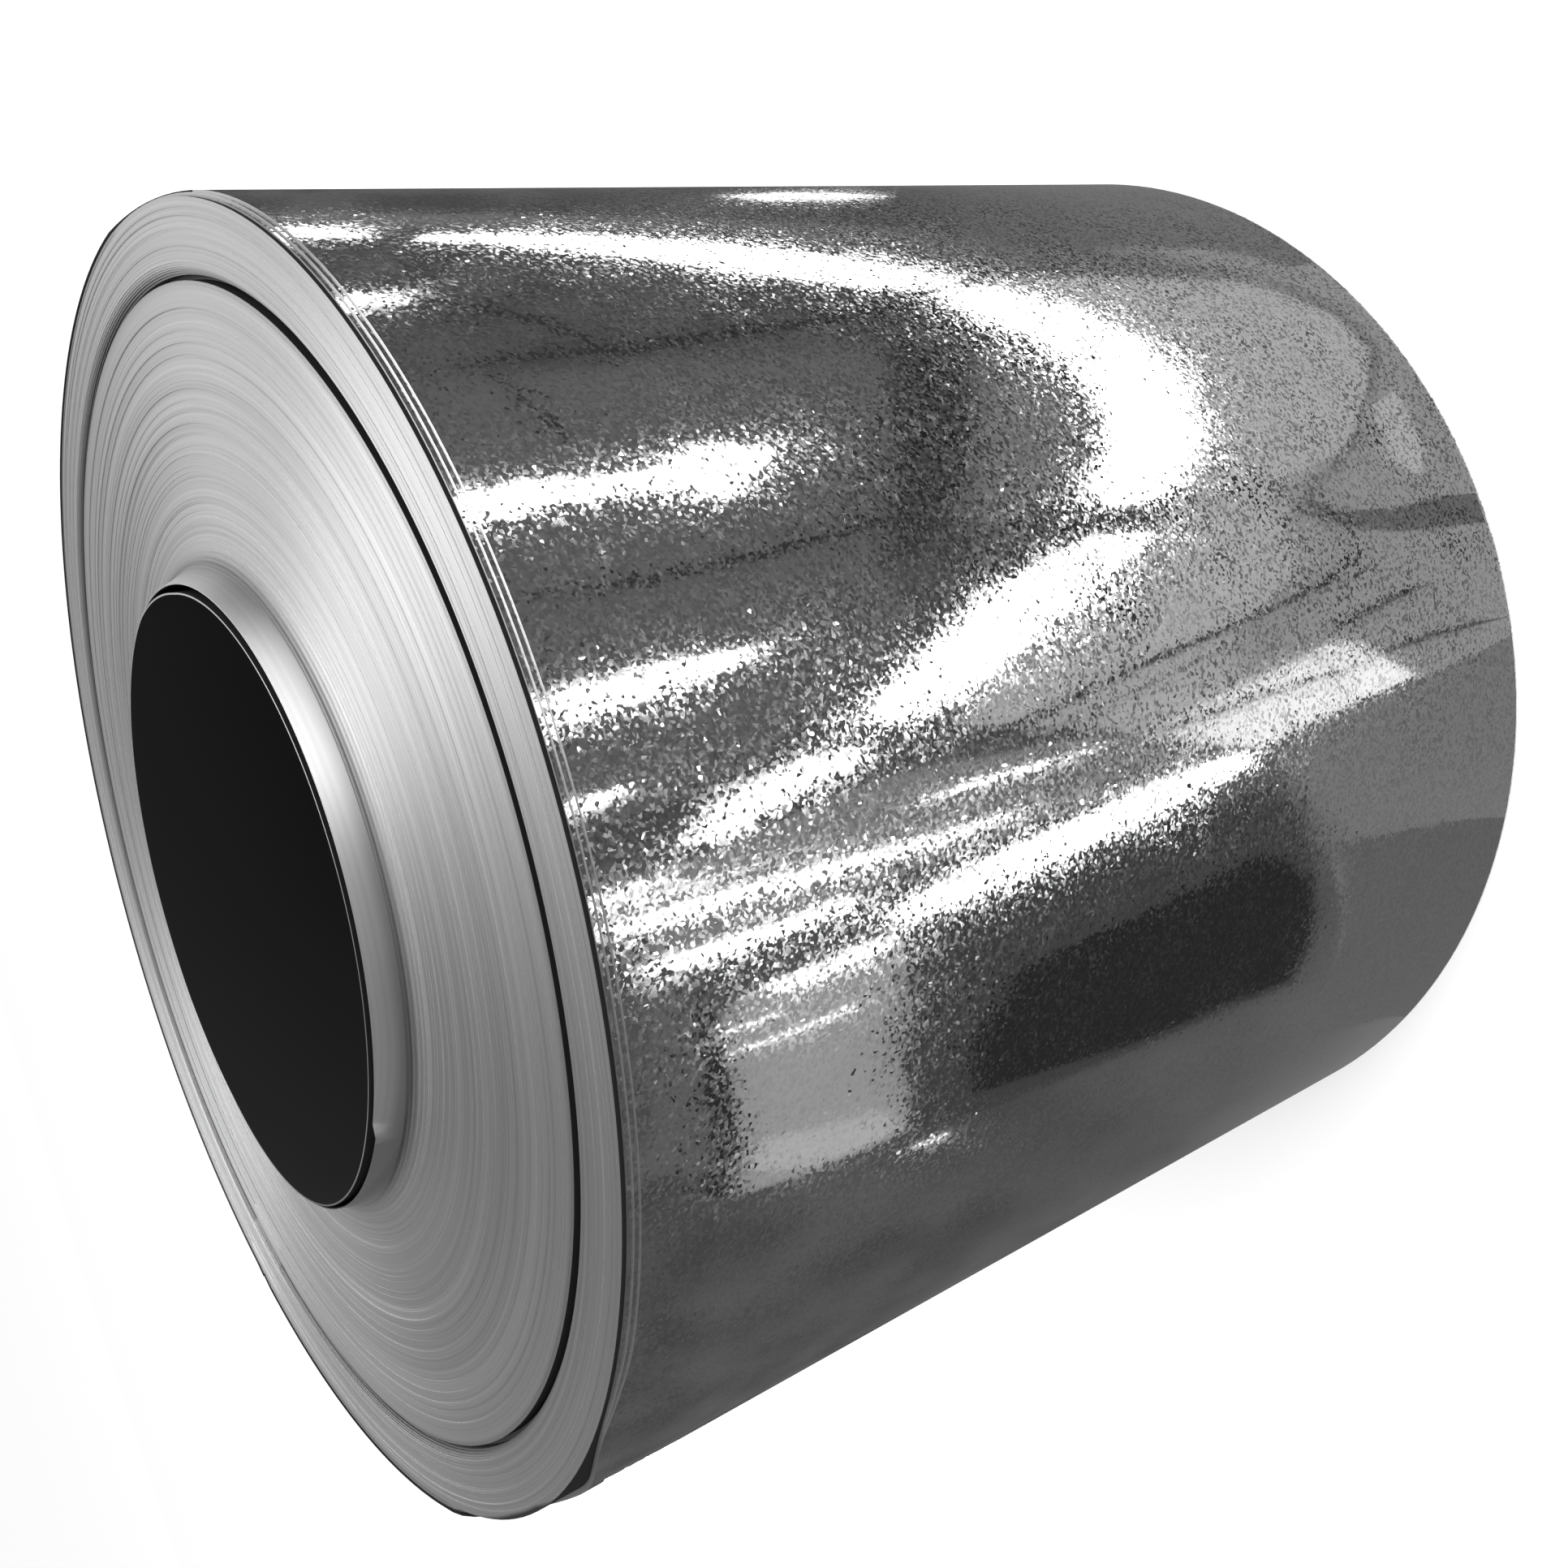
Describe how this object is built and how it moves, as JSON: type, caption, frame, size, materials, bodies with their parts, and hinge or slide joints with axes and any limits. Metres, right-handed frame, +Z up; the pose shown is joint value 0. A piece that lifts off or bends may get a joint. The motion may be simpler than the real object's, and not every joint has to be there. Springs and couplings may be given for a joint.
{
  "type": "steel coil",
  "caption": "Coil of bright galvanised steel strip, wound tight round an open bore and standing on its end, with turn edges, a ring groove and a proud inner collar on top.",
  "frame": {"origin": "on the floor, in the middle of the bore", "axes": "+Z up along the coil's axis, towards the end with the proud collar; +X across the coil, where the picture has its top"},
  "size_m": [1.1149, 1.1133, 1.044],
  "materials": {
    "galvanised_steel": "bright zinc coating with fine spangle"
  },
  "bodies": {
    "root": {"steel_coil": "galvanised_steel"}
  },
  "joints": []
}
